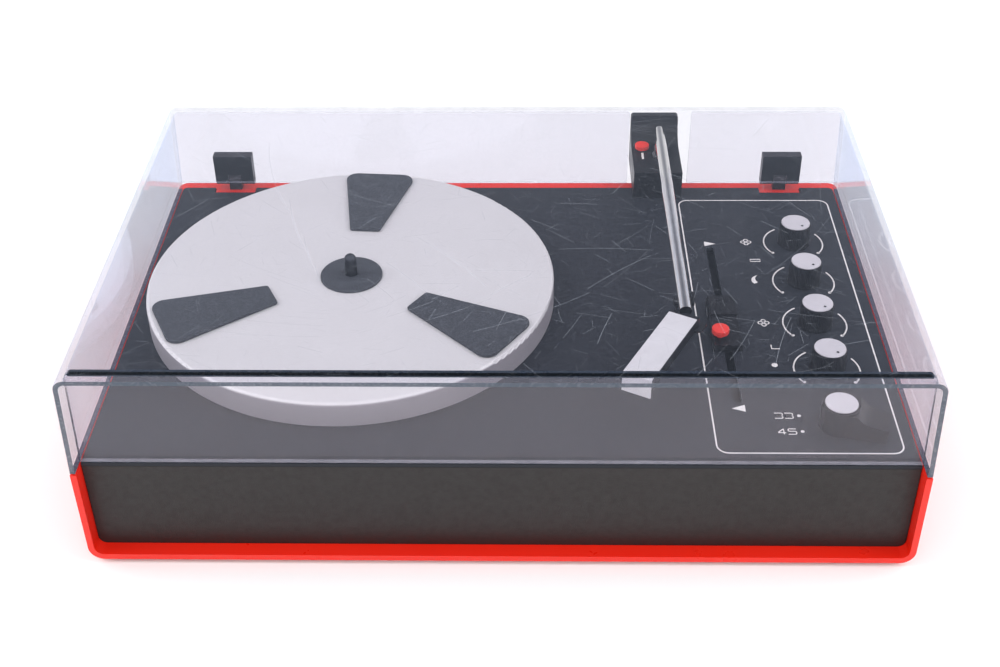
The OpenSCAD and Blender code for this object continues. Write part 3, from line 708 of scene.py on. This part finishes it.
def draw_digits(bm, low, high):
    """Generic speed numbers, drawn wide."""
    wide, tall, gap, pen, bend = 0.0043, 0.0043, 0.0011, 0.00055, 0.0009
    for text, up in (("33", 0.0083), ("45", -0.0045)):
        for i, digit in enumerate(text):
            left = LEVER_AT.x - 0.0271 + (i - 1) * (wide + gap) + gap / 2
            bottom = LEVER_AT.y + up - tall / 2
            for points in DIGITS[digit]:
                path = [(left + x * wide, bottom + y * tall) for x, y in points]
                stroke(bm, rounded_path(path, bend), pen, low, high)


def add_legends():
    printed("legend_outline", draw_outline)
    printed("legend_scales", draw_scales)
    printed("legend_arrows", draw_triangles)
    printed("legend_symbols", draw_symbols)
    printed("legend_speed_dots", draw_speed_dots)
    printed("legend_speeds", draw_digits)


# ---------------------------------------------------------------- pieces

def add_lid():
    """The clear sheets: scratched outside, clean inside, with slate sawn edges that are painted paler at the
    rear and on the panes' bottom edges, as painted light from behind.
    """
    shell_low, shell_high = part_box("lid_shell")
    heart = Vector((0, (shell_low.y + shell_high.y) / 2, shell_low.z))
    clean, scratched, sawn, sawn_painted_light = range(4)
    for node in ("lid_shell", "lid_front_pane", "lid_rear_pane_left", "lid_rear_pane_right"):
        bm = cleaned(node)
        is_shell = node == "lid_shell"
        for face in bm.faces:
            normal, middle = face.normal, face.calc_center_median()
            if is_shell:
                cut = abs(normal.y) > 0.7 or (abs(normal.z) > 0.7 and middle.z < shell_low.z + 0.002)
            else:
                cut = abs(normal.y) < 0.3
            # Painted light: the rear edges and the panes' bottom edges get the paler edge colour, as if lit
            # from behind.
            pale = middle.y > shell_high.y - 0.02 or (not is_shell and normal.z < -0.7)
            outside = normal.dot(middle - heart) > 0
            face.material_index = (sawn_painted_light if pale else sawn) if cut else scratched if outside else clean
        round_edges(bm, 0.00025, 2, least=60)
        outer = MATERIALS["clear_acrylic"] if is_shell else PANE
        new_piece(node + "_sheet", bm, [CLEAN, outer, EDGE, EDGE_PAINTED_LIGHT], "lid", node)
    pane_low, pane_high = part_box("lid_front_pane")
    bm = bmesh.new()
    half = pane_high.x - 0.004
    prism(bm, rounded_box((-half, pane_low.y - 0.0004), (half, pane_high.y + 0.0016), 0.001),
          pane_high.z - 0.0004, pane_high.z)
    new_piece("lid_glue_line", bm, [GLUE], "lid")


def turned(bm, middle, profile, ribs, ripple):
    """Adds a solid of revolution from (radius, height, ribbed) points, first and last closed flat."""
    count = ribs * 4
    rings = []
    for radius, z, ribbed in profile:
        ring = []
        for i in range(count):
            a = 2 * math.pi * i / count
            r = radius + (ripple * math.cos(math.pi * i / 2) if ribbed else 0)
            ring.append(bm.verts.new((middle.x + r * math.cos(a), middle.y + r * math.sin(a), z)))
        rings.append(ring)
    for lower, upper in zip(rings, rings[1:]):
        for i in range(count):
            k = (i + 1) % count
            bm.faces.new((lower[i], lower[k], upper[k], upper[i]))
    bm.faces.new(rings[-1])
    bm.faces.new(rings[0][::-1])


def add_knobs():
    """Dark ribbed skirts round the inset caps, with a dark dot on each cap."""
    for knob in KNOBS:
        low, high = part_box(knob + "_knob")
        cap_low, cap_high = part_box(knob + "_cap")
        middle = KNOB_AT[knob]
        base, top = DECK_TOP + 0.0006, high.z
        stem = 0.003
        well = (cap_high.x - cap_low.x) / 2 + 0.0001
        radius = well + 0.0005
        bm = bmesh.new()
        turned(bm, middle, [
            (stem, low.z, False), (stem, base, False), (radius + 0.0005, base, False),
            (radius + 0.0005, base + 0.0009, False), (radius + 0.0002, base + 0.0014, True),
            (radius, top - 0.0009, True), (radius - 0.00006, top - 0.0003, False),
            (radius - 0.00022, top, False), (well, top - 0.00005, False), (well, cap_low.z, False),
        ], ribs=44, ripple=0.00012)
        new_piece(knob + "_knob_finished", bm, [MATERIALS["black_plastic"]], knob, knob + "_knob")
        soften(knob + "_cap", 0.0003)
        bm = bmesh.new()
        disc(bm, point_at(middle, 0.0053, -50), 0.0008, cap_high.z - 0.0003, cap_high.z + INK_T, 15)
        new_piece(knob + "_pointer", bm, [MATERIALS["black_plastic"]], knob)


def add_softened():
    """CAD pieces that only need their edges rounded."""
    widths = {
        "base_tray": 0.0006, "front_panel": 0.0004, "deck_plate": 0.0003, "arm_block": 0.0007,
        "hinge_block_left": 0.0005, "hinge_block_right": 0.0005, "headshell": 0.0004,
        "headshell_plate": 0.0002, "finger_lift": 0.0003, "arm_rest": 0.0004, "force_dial": 0.0005,
        "cue_slider": 0.0006, "cue_button": 0.0007, "speed_lever": 0.0012, "speed_cap": 0.0003,
        "connector_plate": 0.0003, "mains_inlet": 0.0003, "rubber_feet": 0.0004, "arm_tube": 0.0003,
        "counterweight": 0.0004, "spindle": 0.0002, "platter": 0.0006,
    }
    for node, width in widths.items():
        soften(node, width)
    soften("platter_pads", 0.0007, steps=3)


def add_block_mark():
    """White index line on the tonearm block, in front of the dial."""
    dial = Vector(JOINTS["force_dial_turn"]["pos_m"])
    block_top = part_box("force_dial")[1].z - 0.0033
    half = 0.00075

    def draw(bm, low, high):
        prism(bm, rounded_box((dial.x - half, dial.y - 0.0135), (dial.x + half, dial.y - 0.0052), 0.0006),
              low, high)
    printed("block_index_mark", draw, level=block_top)


add_camera()
add_studio()
paint_nodes()
add_lid()
add_knobs()
add_softened()
add_block_mark()
add_legends()
